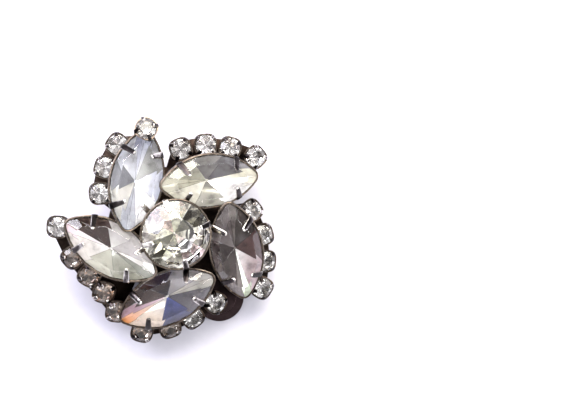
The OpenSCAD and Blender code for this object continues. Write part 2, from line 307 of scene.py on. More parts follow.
class PaintedFacetLight(Enum):
    """Painted reflections and shade in a stone's foil: the tints of its back facets, in turn round
    it.

    Where two tints are given, the first is at the stone's point and the second at its rim.
    """

    CLEAR = (
        "#ffffff", "#6f6a64", "#c5bfbb", "#ffffff", "#7d7874", "#f9cfdb", "#857c7c", "#f4ecee",
        "#fbfaf4", "#7c7b70", "#a3a494", "#f1efe0", "#8d877d", "#ffffff", "#8b8a7e", "#fbfaf6",
    )
    ICY = (
        "#eceefa #9a9db6", "#e2e5f0 #f2f4fc", "#74757d #a6a7ad", "#c4c2bb #d8d6cf",
        "#a2a5af #bec1cb", "#b4b7c0 #c4c7d0", "#ffffff", "#ffffff #ccd4ea", "#d0d1cd #868783",
        "#ffffff #b4bcda",
    )
    CREAMY = (
        "#fffdf2 #f2eed6", "#838187 #a3a1a5", "#939195 #aaa8a8", "#c2c1b1 #d8d7c9",
        "#cccab4 #dedbc9", "#d1cfbb #e0decc", "#f6f4e9 #e2e1cf", "#908f87 #c6c5bb", "#ffffff",
        "#ffffff #f4edd7",
    )
    SMOKY = (
        "#f4f8ee #dff2cf", "#ffffff #eccad1", "#5c4846 #866a69", "#3f3835 #68615c",
        "#7d7571 #a29a95", "#5a5252 #7d7474", "#8f8888 #6a6464", "#3a3434 #625a5a",
        "#4a4443 #6d6664", "#3d3838 #857e7e",
    )
    # Painted fire: flashes of orange, pink and blue where light splits into colours.
    FIERY = (
        "#ffffff #ffa24c", "#ffffff #ffe6cc", "#6370bc #4a474a", "#4a4852 #8b8990",
        "#d3d2ca #e6e5dc", "#dcdad3 #e8e6df", "#a9a6a6 #c3c0c0", "#2c1f1e #4a3630",
        "#3a2624 #4a3226", "#ffe0f4 #a87c86",
    )
    ROSY = (
        "#ffffff #ffe3ef", "#ffffff #f3ece6", "#c3c4b6 #d9d9cc", "#9fa195 #b2b4a6",
        "#8c8f87 #a3a69c", "#ebe8e5 #f6f4f2", "#d6d2d1 #e6e3e2", "#ffffff #d9d2d3",
        "#45332f #5a4844", "#2f1f1b #453029",
    )
    # Painted glints for the small stones: white facets between dark ones.
    SPARKLING = (
        "#ffffff", "#8a8688", "#fbfaf8", "#757170", "#ffffff", "#c6c3bf", "#ffffff", "#9a9590",
    )
    # Painted shade for a small stone that the light barely reaches.
    SHADED = (
        "#5a5653", "#bdb8b0", "#403c39", "#9a958e", "#efeae2", "#4f4b47", "#aaa59e", "#383431",
    )
    # Browner painted shade for the small stones that lean away from the light.
    SHADED_BROWN = (
        "#4d382c", "#cdb5a2", "#2f211a", "#947763", "#f1e1d2", "#3f2e24", "#ae8f77", "#241914",
    )

    def tints(self, meetings: int) -> list[list[Vector]]:
        """Works out the linear tints of the facets.

        Args:
            meetings: how many times light meets the foil on its way.

        Returns:
            For each facet, the share of its tint that one meeting lays, at its point and rim.
        """
        facets = [(tints.split()[0], tints.split()[-1]) for tints in self.value]
        return [
            [Vector(part ** (1 / meetings) for part in linear(tint)) for tint in facet]
            for facet in facets
        ]


@dataclass(frozen=True)
class SilverFoil(Finish):
    """Vacuum-laid silver foil under glass: a soft mirror with painted light tinting each facet, and
    patches.

    Where light meets the foil more than once on its way, each meeting lays a share of the tint.
    """

    name: str = "aged_silver_foil"
    patch_mm: float = 1.8
    rough: float = 0.14
    mirror: float = 0.3
    meetings: int = 1
    patches: tuple[Stop, ...] = ((0.3, "#b6b4b4"), (0.45, "#eeedec"), (0.6, "#ffffff"))
    patch_rougher: float = 1.6

    def look(self, tree: NodeTree, place: NodeSocket) -> dict[str, Any]:
        """Foil tinted with each facet's painted light, greyer and rougher where it has gone dull.

        Args:
            tree: the material's tree.
            place: its Object coordinates.

        Returns:
            What each of the shader's inputs gets.
        """
        tint = add_node(
            tree, "ShaderNodeAttribute", "Color", attribute_type="GEOMETRY",
            attribute_name="painted_facet_tint",
        )
        clouds = add_node(tree, "ShaderNodeTexNoise", "Fac", {
            "Vector": place, "Scale": 1 / (self.patch_mm * MM), "Detail": 3.0, "Roughness": 0.55,
        })
        grey = add_node(tree, "ShaderNodeValToRGB", "Color", {"Fac": clouds}, self.patches)
        colour = add_node(
            tree, "ShaderNodeMix", 2, {0: 1.0, 6: tint, 7: grey}, data_type="RGBA",
            blend_type="MULTIPLY",
        )
        rough = add_node(tree, "ShaderNodeMapRange", "Result", {
            "Value": clouds, "From Min": self.patches[0][0], "From Max": self.patches[-1][0],
            "To Min": self.rough * self.patch_rougher, "To Max": self.rough,
        })
        return {"Base Color": colour, "Roughness": rough, "Metallic": self.mirror}


@dataclass(frozen=True)
class PlatedMetal(Finish):
    """Cast and stamped metal, worn silver plating: painted shade near black low down, painted
    highlight on edges.

    It goes from 0, dark, to 1, bright. Height adds painted shade, darker low down; the rubbed and
    highlit mark adds painted highlight on worn edges; mottling and a slow drift from place to place
    add wear.
    """

    name: str = "worn_plating_and_painted_shade"
    dark: str = "#1b1613"
    middle: str = "#40362f"
    bright: str = "#776d63"
    rubbed_and_highlit: str = "#dedad5"
    coloured_at: tuple[float, ...] = (0.22, 0.45, 0.7, 0.95)
    rough: Span = (0.14, 0.4)
    rough_at: Span = (0.9, 0.2)
    # Painted shade: the metal is drawn darker the lower it lies, below high_mm.
    low_mm: float = 2.0
    high_mm: float = 9.5
    height_adds: float = 0.3
    # Painted highlight: how much the rubbed and highlit mark on claws and prongs brightens them.
    highlit_rubbing_adds: float = 0.45
    mottle_mm: float = 0.7
    mottle_adds: float = 0.6
    drift_mm: float = 4.0
    drift_adds: float = 0.0
    # The cast skin's real grain is finer than this. It is drawn as coarse as it shows.
    grain_mm: float = 0.12
    grain_depth_mm: float = 0.02
    grain_strength: float = 0.25

    def look(self, tree: NodeTree, place: NodeSocket) -> dict[str, Any]:
        """Plating darkened low down by painted shade, and tarnished in mottled patches.

        Args:
            tree: the material's tree.
            place: its Object coordinates.

        Returns:
            What each of the shader's inputs gets.
        """
        drift, mottle, grain = (
            add_node(tree, "ShaderNodeTexNoise", "Fac", {
                "Vector": place, "Scale": 1 / (size * MM), "Detail": detail, "Roughness": coarse,
            }) for size, detail, coarse in (
                (self.drift_mm, 0.0, 0.5), (self.mottle_mm, 4.0, 0.6), (self.grain_mm, 2.0, 0.5)
            )
        )
        # The painted highlight, with rubbing, marked on the claws' edges and ends.
        highlit_rubbing = add_node(
            tree, "ShaderNodeAttribute", "Fac", attribute_type="GEOMETRY", attribute_name="rubbed_and_highlit"
        )
        # Painted shade: the lower the metal lies, the darker it is drawn.
        height = add_node(tree, "ShaderNodeSeparateXYZ", "Z", {"Vector": place})
        wear_and_light = add_node(tree, "ShaderNodeMapRange", "Result", {
            "Value": height, "From Min": self.low_mm * MM, "From Max": self.high_mm * MM,
            "To Min": -self.drift_adds / 2, "To Max": self.height_adds - self.drift_adds / 2,
        })
        for amount, adds in (
            (highlit_rubbing, self.highlit_rubbing_adds), (drift, self.drift_adds), (mottle, self.mottle_adds)
        ):
            wear_and_light = add_node(
                tree, "ShaderNodeMath", 0, {0: amount, 1: adds, 2: wear_and_light}, operation="MULTIPLY_ADD"
            )
        colours = (self.dark, self.middle, self.bright, self.rubbed_and_highlit)
        stops = list(zip(self.coloured_at, colours))
        colour = add_node(tree, "ShaderNodeValToRGB", "Color", {"Fac": wear_and_light}, stops)
        rough = add_node(tree, "ShaderNodeMapRange", "Result", {
            "Value": wear_and_light, "From Min": self.rough_at[1], "From Max": self.rough_at[0],
            "To Min": self.rough[1], "To Max": self.rough[0],
        })
        bump = add_node(tree, "ShaderNodeBump", "Normal", {
            "Height": grain, "Strength": self.grain_strength, "Distance": self.grain_depth_mm * MM,
        })
        return {"Base Color": colour, "Roughness": rough, "Metallic": 1.0, "Normal": bump}


@dataclass(frozen=True)
class PaleTable(Finish):
    """Smooth matt card, which shows white where it is lit, with the faintest tooth."""

    name: str = "white_card"
    tones: tuple[Stop, ...] = ((0.2, "#bfbec8"), (0.8, "#c4c3cc"))
    rough: float = 0.9
    # A real card's tooth is too fine to show. This gives marks about 1.1 mm apart.
    tooth_per_m: float = 900.0

    def look(self, tree: NodeTree, place: NodeSocket) -> dict[str, Any]:
        """Matt card with a faint change of tone.

        Args:
            tree: the material's tree.
            place: its Object coordinates.

        Returns:
            What each of the shader's inputs gets.
        """
        tooth = add_node(
            tree, "ShaderNodeTexNoise", "Fac", {"Vector": place, "Scale": self.tooth_per_m}
        )
        colour = add_node(tree, "ShaderNodeValToRGB", "Color", {"Fac": tooth}, self.tones)
        return {"Base Color": colour, "Roughness": self.rough}


# Lacquered foil gone cloudy with age: it shows each facet's painted light evenly, from milky to
# smoky.
MILKY_FOIL = SilverFoil()
# Foil that has stayed a clean mirror: with its painted light, each facet of the stone flashes or
# goes dark.
BRIGHT_FOIL = SilverFoil(
    name="bright_silver_foil", patch_mm=0.9, rough=0.04, mirror=1.0, meetings=2
)
# Foil with a slight haze: the small stones glitter in soft specks.
HAZY_FOIL = SilverFoil(name="hazy_silver_foil", patch_mm=0.9, rough=0.05, mirror=0.8, meetings=2)
# Worn plating on the cups, drawn brown-black low down by painted shade, under dull grey rims.
SETTING_METAL = PlatedMetal()
# Claw plating: glossy, painted dark for a dark reflection, with painted highlights on ends and
# edges, no two claws alike.
CLAW_METAL = PlatedMetal(
    name="silver_claws_painted_light", dark="#151212", middle="#272323", bright="#4a4545",
    rough=(0.12, 0.3), low_mm=1.0, drift_adds=1.6,
)
# Unpolished plating behind the stones, painted brown-black for the shade between the stones.
PLATE_METAL = PlatedMetal(
    name="back_plate_painted_shade", dark="#120e0c", middle="#241c18", bright="#3d332c",
    rubbed_and_highlit="#5a4d44", rough=(0.3, 0.55),
)
# Stamped and polished clip: a smooth silver with a warm cast, painted dark for the shade under the
# ornament.
CLIP_METAL = PlatedMetal(
    name="silver_clip_painted_shade", dark="#1c1415", middle="#33292a", bright="#554a4b",
    rough=(0.16, 0.34), mottle_mm=2.5, low_mm=-3.0, high_mm=12.0,
)


# Geometry Nodes trees


def new_tree(name: str, inputs: Iterable[tuple[str, str]]) -> NodeTree:
    """Starts a geometry tree.

    Args:
        name: the tree's name.
        inputs: the name and socket type of each input after its Geometry input.

    Returns:
        The tree, with nothing in it.
    """
    tree = bpy.data.node_groups.new(name, "GeometryNodeTree")
    for label, kind in (("Geometry", "NodeSocketGeometry"), *inputs):
        tree.interface.new_socket(label, in_out="INPUT", socket_type=kind)
    tree.interface.new_socket("Geometry", in_out="OUTPUT", socket_type="NodeSocketGeometry")
    return tree


def end_tree(tree: NodeTree, shape: NodeSocket, finish: NodeSocket) -> None:
    """Ends a tree: its instances are made real, and then get their finish.

    Args:
        tree: the tree.
        shape: what it has made.
        finish: the material to set.
    """
    real = add_node(tree, "GeometryNodeRealizeInstances", "Geometry", {"Geometry": shape})
    dressed = add_node(
        tree, "GeometryNodeSetMaterial", "Geometry", {"Geometry": real, "Material": finish}
    )
    add_node(tree, "NodeGroupOutput", inputs={"Geometry": dressed})


def copies_tree() -> NodeTree:
    """Builds the tree that sets a template at each point, by the point's "turn" and a bit askew.

    Returns:
        The tree.
    """
    tree = new_tree("set_copies_at_places", [
        ("Template", "NodeSocketObject"), ("Finish", "NodeSocketMaterial"),
        ("Askew", "NodeSocketFloat"), ("Seed", "NodeSocketInt"),
    ])
    given = add_node(tree, "NodeGroupInput", 0).node.outputs
    template = add_node(
        tree, "GeometryNodeObjectInfo", "Geometry", {"Object": given["Template"]},
        transform_space="ORIGINAL",
    )
    turn = add_node(
        tree, "GeometryNodeInputNamedAttribute", "Attribute", {"Name": "turn"},
        data_type="FLOAT_VECTOR",
    )
    facing = add_node(tree, "FunctionNodeEulerToRotation", "Rotation", {"Euler": turn})
    askew = given["Askew"]
    back = add_node(tree, "ShaderNodeMath", 0, {0: askew, 1: -1.0}, operation="MULTIPLY")
    stray = add_node(
        tree, "FunctionNodeRandomValue", 1, {2: back, 3: askew, "Seed": given["Seed"]},
        data_type="FLOAT",
    )
    twist = add_node(
        tree, "FunctionNodeAxisAngleToRotation", "Rotation", {"Axis": (0, 0, 1), "Angle": stray}
    )
    facing = add_node(
        tree, "FunctionNodeRotateRotation", "Rotation", {"Rotation": facing, "Rotate By": twist},
        rotation_space="LOCAL",
    )
    copies = add_node(tree, "GeometryNodeInstanceOnPoints", "Instances", {
        "Points": given["Geometry"], "Instance": template, "Rotation": facing,
    })
    end_tree(tree, copies, given["Finish"])
    return tree


def rods_tree() -> NodeTree:
    """Builds the tree that draws round rod along the edges of a mesh.

    Returns:
        The tree.
    """
    tree = new_tree("draw_rod_along_edges", [
        ("Rod radius", "NodeSocketFloat"), ("Sides", "NodeSocketInt"),
        ("Finish", "NodeSocketMaterial"),
    ])
    given = add_node(tree, "NodeGroupInput", 0).node.outputs
    path = add_node(tree, "GeometryNodeMeshToCurve", "Curve", {"Mesh": given["Geometry"]})
    section = add_node(tree, "GeometryNodeCurvePrimitiveCircle", "Curve", {
        "Resolution": given["Sides"], "Radius": given["Rod radius"],
    })
    tube = add_node(tree, "GeometryNodeCurveToMesh", "Mesh", {
        "Curve": path, "Profile Curve": section, "Fill Caps": True,
    })
    smooth = add_node(tree, "GeometryNodeSetShadeSmooth", "Geometry", {"Geometry": tube})
    end_tree(tree, smooth, given["Finish"])
    return tree


class Repeats:
    """Runs the geometry trees and hands back plain meshes."""

    def __init__(self) -> None:
        """Builds both trees once."""
        self.copies = copies_tree()
        self.rods = rods_tree()

    def run(self, base: Mesh, tree: NodeTree, values: dict[str, Any], name: str) -> Object:
        """Puts a tree on a base mesh and takes the result.

        Args:
            base: the points or edges that the tree works on.
            tree: the geometry tree.
            values: the value of each named input.
            name: the new piece's name.

        Returns:
            The piece, a plain mesh with nothing live left on it.
        """
        holder = in_scene(base, name + "_base")
        modifier = holder.modifiers.new("repeat", "NODES")
        modifier.node_group = tree
        known = {i.name: i.identifier for i in tree.interface.items_tree if i.in_out == "INPUT"}
        for label, value in values.items():
            modifier[known[label]] = value
        bpy.context.view_layer.update()
        graph = bpy.context.evaluated_depsgraph_get()
        mesh = bpy.data.meshes.new_from_object(holder.evaluated_get(graph))
        mesh.name = name
        for attribute in [a for a in mesh.attributes if a.name == "turn"]:
            mesh.attributes.remove(attribute)
        bpy.data.objects.remove(holder)
        return in_scene(mesh, name)

    def set_copies(
        self, name: str, template: Mesh, places: Sequence[Matrix], finish: Finish,
        askew: float = 0.0, seed: int = 1,
    ) -> Object:
        """Sets a template at each place.

        Args:
            name: the new piece's name.
            template: the template's mesh, in metres, in its own frame.
            places: where it goes, in millimetres.
            finish: what it is made of.
            askew: by how many degrees each copy may be off.
            seed: the seed for that.

        Returns:
            The piece.
        """
        points = bpy.data.meshes.new(name + "_points")
        points.from_pydata([place.to_translation() * MM for place in places], [], [])
        turn = points.attributes.new("turn", "FLOAT_VECTOR", "POINT")
        for item, place in zip(turn.data, places):
            item.vector = place.to_euler()
        pattern = in_scene(template, name + "_template")
        piece = self.run(points, self.copies, {
            "Template": pattern, "Finish": finish.material(), "Askew": math.radians(askew),
            "Seed": seed,
        }, name)
        bpy.data.objects.remove(pattern)
        return piece

    def draw_rods(
        self, name: str, runs: Sequence[Sequence[Vector]], radius: float, sides: int,
        finish: Finish,
    ) -> Object:
        """Draws round rod along runs of points.

        Args:
            name: the new piece's name.
            runs: the points of each rod, in millimetres.
            radius: the rod's radius in millimetres.
            sides: how many sides it is drawn with.
            finish: what it is made of.

        Returns:
            The piece.
        """
        points: list[Vector] = []
        edges: list[tuple[int, int]] = []
        for run in runs:
            first = len(points)
            points += [p * MM for p in run]
            edges += [(first + k, first + k + 1) for k in range(len(run) - 1)]
        base = bpy.data.meshes.new(name + "_edges")
        base.from_pydata(points, edges, [])
        return self.run(base, self.rods, {
            "Rod radius": radius * MM, "Sides": sides, "Finish": finish.material(),
        }, name)


# The layout of the stones


@dataclass(frozen=True)
class Frame:
    """How the setting lies: its back leans down toward the lever's rounded end."""

    back_height: float = 4.2
    face_lean: float = 9.3
    lever_bearing: float = -53

    def lying(self) -> Matrix:
        """From the setting's own frame to the part's."""
        level, b = shift(0, 0, self.back_height), self.lever_bearing
        return level @ spin("Z", b) @ spin("Y", self.face_lean) @ spin("Z", -b)

    def along_lever(self) -> Matrix:
        """From the lever's frame, x toward its rounded end, to the part's."""
        return spin("Z", self.lever_bearing)


@dataclass(frozen=True)
class Arm:
    """One arm of the pinwheel: its navette stone and the small stones along its outer side.

    The navette's middle stands `out` from the centre at `bearing`. It points along `aim`, and
    its outer point droops. The row's `count` stones stand on an arc of radius `reach`, from the
    angle `first` on in steps of `step`, which `tighten` and `grow` bend. The tip stone stands
    `along` and `across` from the navette's middle, lifted and leaned.
    """

    number: int
    out: float
    bearing: float
    aim: float
    droop: float
    reach: float
    first: float
    step: float
    tighten: float
    grow: float
    count: int
    along: float
    across: float
    lift: float
    tip_lean: float
    tip_turn: float = 0.0

    navette_rise: float = 5.4
    small_rise: float = 2.4
    small_lean: float = 8.0
    row_drop: float = 6.3

    def navette_place(self) -> Matrix:
        """Where the navette stone sits in the setting's frame."""
        return (
            spin("Z", self.bearing) @ shift(self.out, 0, self.navette_rise)
            @ spin("Z", self.aim - self.bearing) @ spin("Y", self.droop)
        )

    def away(self) -> int:
        """1 or -1: the side of the navette that faces away from the centre."""
        return 1 if math.sin(math.radians(self.bearing - self.aim)) > 0 else -1

    def point(self, along: float, across: float) -> Spot:
        """A spot along and across the navette as a point of the setting's frame."""
        (x0, y0), (x1, y1) = turned(self.out, 0, self.bearing), turned(along, across, self.aim)
        return x0 + x1, y0 + y1

    def row_angle(self, k: int) -> float:
        """Where row stone k stands on the row's arc, in degrees."""
        return self.first + (self.step + self.tighten * (k - 1)) * (k - 1)

    def row_point(self, k: int) -> Spot:
        """The middle of row stone k."""
        a, r = math.radians(self.row_angle(k)), self.reach + self.grow * (k - 1) ** 2
        return self.point(r * math.sin(a), self.away() * (r * math.cos(a) - self.row_drop))

    def row_place(self, k: int) -> Matrix:
        """Where row stone k sits."""
        facing = self.aim + self.away() * (90 - self.row_angle(k))
        return (
            shift(*self.row_point(k), self.small_rise)
            @ spin("Z", facing) @ spin("Y", self.small_lean)
        )

    def tip_point(self) -> Spot:
        """The middle of the small stone at the arm's outer point."""
        return self.point(self.along, self.away() * self.across)

    def tip_place(self) -> Matrix:
        """Finds where the small stone at the outer point sits, facing outward.

        Returns:
            Its place in the setting's frame.
        """
        x, y = self.tip_point()
        outward = math.degrees(math.atan2(y, x))
        facing = spin("Z", outward) @ spin("Y", self.tip_lean) @ spin("Z", self.tip_turn)
        return shift(x, y, self.small_rise + self.lift) @ facing


FRAME = Frame()
# The numbers are the fields of Arm in their order, from number to tip_turn.
ARMS = (
    Arm(1, 9.7, 126, 78, 12, 10.8, 24, -20.5, 0, 0.12, 3, 7.9, 0.4, 3.65, 25, 45),
    Arm(2, 9.4, 56, 5, 12, 11.35, 20, -19, 0, 0.08, 3, 7.6, 2.7, 0.3, 12),
    Arm(3, 9.9, -16, -77, 12, 11.1, 16, -21, 0, 0.05, 3, 6.9, 3.0, 0.3, 12),
    Arm(4, 9.9, -95, -154, 8, 11.2, 7, -19, 0, 0.35, 3, 5.4, 3.5, 0, 8),
    Arm(5, 9.75, -166, 150, 12, 11.1, 19.8, -21, 2.2, 0.49, 4, 8.0, 1.3, -0.15, 8),
)
CENTRE_RISE = 7.6
CENTRE_TURN = 18


def centre_place() -> Matrix:
    """Where the centre stone sits in the setting's frame."""
    return shift(0, 0, CENTRE_RISE) @ spin("Z", CENTRE_TURN)


def row_places() -> list[Matrix]:
    """Where the stones of all the rows sit in the setting's frame."""
    return [a.row_place(k) for a in ARMS for k in range(1, a.count + 1)]


# Stones


@dataclass
class Stones:
    """The cut stones, each taken from its solid with its facets cleaned and its foil laid, tinted
    with painted light.
    """

    edge_mm: float = 0.022
    # The painted light on each navette's foil, in the arms' order.
    navette_painted_palettes: tuple[PaintedFacetLight, ...] = (
        PaintedFacetLight.ICY, PaintedFacetLight.CREAMY, PaintedFacetLight.SMOKY, PaintedFacetLight.FIERY, PaintedFacetLight.ROSY
    )
    # Painted shade for the small stone at the top point and for those lower left and at the bottom,
    # painted glints for the rest.
    small_painted_palettes: tuple[tuple[str, PaintedFacetLight], ...] = (
        ("tip_stone_1", PaintedFacetLight.SHADED), ("row_stone_5", PaintedFacetLight.SHADED_BROWN),
        ("row_stone_4_1", PaintedFacetLight.SHADED_BROWN), ("tip_stone_4", PaintedFacetLight.SHADED_BROWN),
        ("", PaintedFacetLight.SPARKLING),
    )
    # A faint greenish painted tint where the centre stone's back facets meet.
    centre_heart: str = "#f0f1e2"
    heart_mm: float = 0.6
    tints_apart: int = 3
    # A facet that faces exactly along the start of a tint's step falls in that step.
    tint_lead: float = 0.1

    def build(self) -> list[Object]:
        """Builds every stone.

        Returns:
            The stones' pieces.
        """
        lying = FRAME.lying()
        pieces = [self.cut(
            "centre_stone", lying @ centre_place(), GIRDLE_HALF, PaintedFacetLight.CLEAR, BRIGHT_FOIL,
            heart=self.centre_heart,
        )]
        for arm, painted_palette in zip(ARMS, self.navette_painted_palettes):
            place, node = lying @ arm.navette_place(), f"navette_{arm.number}"
            pieces.append(self.cut(node, place, GIRDLE_HALF, painted_palette, MILKY_FOIL))
            small = [(f"tip_stone_{arm.number}", arm.tip_place())]
            small += [
                (f"row_stone_{arm.number}_{k}", arm.row_place(k)) for k in range(1, arm.count + 1)
            ]
            for k, (node, place) in enumerate(small):
                painted_palette = next(painted_palette for start, painted_palette in self.small_painted_palettes if node.startswith(start))
                pieces.append(self.cut(
                    node, lying @ place, SMALL_GIRDLE_HALF, painted_palette, HAZY_FOIL, self.tints_apart * k
                ))
        return pieces

    def cut(
        self, node: str, place: Matrix, half_girdle: float, painted_palette: PaintedFacetLight, foil: SilverFoil,
        first: int = 0, heart: str = "#ffffff",
    ) -> Object:
        """Makes one stone from its solid.

        Args:
            node: the solid's name.
            place: the stone's place in the part's frame, in millimetres.
            half_girdle: half the girdle's height in millimetres.
            painted_palette: the painted reflections and shade of the foil behind it.
            foil: that foil's finish.
            first: which tint the round starts with.
            heart: the painted tint laid over the middle, where the back facets meet.

        Returns:
            The stone's piece.
        """
        bm = merged_solid(node)
        # The painted light of each facet, laid at every corner from rim to point.
        tints = bm.loops.layers.float_color.new("painted_facet_tint")
        local = place.inverted()
        palette = painted_palette.tints(foil.meetings)
        over = Vector(linear(heart))
        lowest = min((local @ (v.co / MM)).z for v in bm.verts)
        for face in bm.faces:
            middle = local @ (face.calc_center_median() / MM)
            facing = local.to_3x3() @ face.normal
            turn = math.degrees(math.atan2(facing.y, facing.x)) % 360
            step = int(turn * len(palette) / 360 + self.tint_lead) + first
            face.material_index = 1 if middle.z < -half_girdle / 2 else 0
            inner, outer = palette[step % len(palette)]
            corners = [local @ (loop.vert.co / MM) for loop in face.loops]
            if min(corner.xy.length for corner in corners) < self.heart_mm:
                inner = inner * over
            for loop, corner in zip(face.loops, corners):
                loop[tints] = outer.lerp(inner, max(corner.z / lowest, 0))
            face.smooth = False
        bmesh.ops.bevel(
            bm, geom=list(bm.edges), offset=self.edge_mm * MM, segments=1, profile=0.5,
            affect="EDGES", clamp_overlap=True,
        )
        mesh = mesh_from(bm, node + "_cut", scale=1)
        mesh.materials.append(PolishedCrystal().material())
        mesh.materials.append(foil.material())
        piece = in_scene(mesh, node + "_cut")
        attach(piece, "ornament")
        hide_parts(node)
        return piece


# Setting


@dataclass(frozen=True)
class Claw:
    """A claw that stands outside a stone's girdle and folds over it to a narrow round end.

    It faces +x. Its shares are parts of its width, its thickness or its length.
    """

    reach: float
    half_girdle: float
    slope: float
    over: float
    seat: float
    low: float = 0.7
    width: float = 1.0
    thick: float = 0.32
    gap: float = STONE_GAP
    tip_share: float = 0.6
    taper: float = 2.8
    foot_share: float = 0.7
    end_shares: Span = (0.82, 0.42)
    end_thick: float = 0.55
    end_rise: float = 0.55
    knee_in: float = 0.02
    knee_drop: float = 0.12
    knee_share: float = 0.3
    bend_steps: int = 4
    rings_past_bend: tuple[float, ...] = (0.35, 0.65, 0.85, 0.95, 1.0)
    squareness: float = 0.6
    sides: int = 12

    def centreline(self) -> list[Spot]:
        """Finds the middle of the claw's thickness, from its foot to its end.

        Returns:
            Its points, as x and z.
        """
        tan = math.tan(math.radians(self.slope))
        lift = self.gap / math.cos(math.radians(self.slope))
        x = self.reach + self.gap + self.seat + self.thick / 2
        end = (
            self.reach - self.over,
            self.half_girdle + self.over * tan + lift + self.thick * self.end_rise,
        )
        knee = (x - self.knee_in, end[1] - (x - end[0]) * tan)
        start = (x, min(self.half_girdle, knee[1] - self.knee_drop))
        turn = tuple(a + (b - a) * self.knee_share for a, b in zip(knee, end))
        line = [(x, -self.low), (x, (start[1] - self.low) / 2)]
        for k in range(self.bend_steps + 1):
            t = k / self.bend_steps
            line.append(tuple(
                (1 - t) ** 2 * s + 2 * t * (1 - t) * c + t * t * e
                for s, c, e in zip(start, knee, turn)
            ))
        for t in self.rings_past_bend:
            line.append(tuple(a + (b - a) * t for a, b in zip(turn, end)))
        return line

    def mesh(self, name: str) -> Mesh:
        """Builds the claw, with painted highlight and rubbing marked at each point: its edges and
        its end most.

        Args:
            name: the mesh's name.

        Returns:
            The mesh in metres, in its stone's frame.
        """
        line, angles = self.centreline(), steps_round(self.sides)
        last = len(line) - 1
        rings = []
        for k, (x, z) in enumerate(line):
            (x0, z0), (x1, z1) = line[max(k - 1, 0)], line[min(k + 1, last)]
            run = math.hypot(x1 - x0, z1 - z0)
            out = ((z1 - z0) / run, -(x1 - x0) / run)
            width = self.width * (1 - (1 - self.tip_share) * (k / last) ** self.taper)
            if k == 0:
                width *= self.foot_share
            elif k >= last - 1:
                width *= self.end_shares[k - last + 1]
            half_w, half_t = width / 2, self.thick / 2 * (1 if k < last else self.end_thick)
            ring = []
            for a in angles:
                c, d = math.cos(a), math.sin(a)
                side = half_w * math.copysign(abs(c) ** self.squareness, c)
                depth = half_t * math.copysign(abs(d) ** self.squareness, d)
                ring.append(Vector((x + out[0] * depth, side, z + out[1] * depth)))
            rings.append(ring)
        mesh = mesh_from(loft(rings, around=False), name, sharp=80)
        # Painted highlight, which also stands for rubbed plating: bright at the ends and along the
        # edges.
        rubbed_and_highlit = mesh.attributes.new("rubbed_and_highlit", "FLOAT", "POINT")
        for point, spot in enumerate(rubbed_and_highlit.data):
            k, step = divmod(point, self.sides)
            spot.value = 1.0 if k >= last - 1 else abs(math.cos(angles[step])) ** 3
        return mesh


def circle(radius: float, count: int) -> Outline:
    """A round outline."""
    return [(radius * math.cos(a), radius * math.sin(a)) for a in steps_round(count)]


def soft_square(half: float, count: int, power: float = 3.0) -> Outline:
    """Draws a square outline with well-rounded corners.

    Args:
        half: half its width in millimetres.
        count: how many points it has.
        power: how square it is, from 2, a circle.

    Returns:
        The outline.
    """
    points = []
    for a in steps_round(count):
        c, s = math.cos(a), math.sin(a)
        r = half / (abs(c) ** power + abs(s) ** power) ** (1 / power)
        points.append((r * c, r * s))
    return points


def lens_radius(length: float, width: float, tip: float) -> float:
    """The radius of a navette outline's two long arcs."""
    reach, half = length / 2 - tip, width / 2
    return (reach**2 + half**2 - tip**2) / (width - 2 * tip)


def lens(length: float, width: float, tip: float, steps: int = 22, tip_steps: int = 6) -> Outline:
    """Draws the navette outline: two long arcs of one radius, joined by small round tips.

    Args:
        length: its length in millimetres.
        width: its width in millimetres.
        tip: the radius of its tips in millimetres.
        steps: how many points a long arc has.
        tip_steps: how many points a tip has.

    Returns:
        The outline.
    """
    reach, half = length / 2 - tip, width / 2
    radius = lens_radius(length, width, tip)
    bend = math.atan2(radius - half, reach)
    points = []
    for k in range(steps):
        a = bend + (math.pi - 2 * bend) * k / steps
        points.append((radius * math.cos(a), radius * math.sin(a) - radius + half))
    for k in range(tip_steps):
        a = math.pi - bend + 2 * bend * k / tip_steps
        points.append((tip * math.cos(a) - reach, tip * math.sin(a)))
    return points + [(-x, -y) for x, y in points]


def round_leaf(spots: Sequence[Spot], margin: float, count: int) -> Outline:
    """Draws the outline of a leaf of sheet metal that runs round a set of spots.

    Args:
        spots: what it runs round, in millimetres.
        margin: how far out it runs, in millimetres.
        count: how many points it has.

    Returns:
        The outline.
    """
    points = []
    for a in steps_round(count):
        c, s = math.cos(a), math.sin(a)
        x, y = max(spots, key=lambda spot: spot[0] * c + spot[1] * s)
        points.append((x + margin * c, y + margin * s))
    return points


def rings_at(profile: Iterable[tuple[Outline, float]]) -> list[list[Vector]]:
    """Sets outlines at their heights."""
    return [[Vector((x, y, z)) for x, y in outline] for outline, z in profile]


def band(profile: Sequence[tuple[Outline, float]], name: str) -> Mesh:
    """A closed band of metal through outlines at heights, in order round its wall."""
    return mesh_from(loft(rings_at(profile), around=True), name, sharp=50)


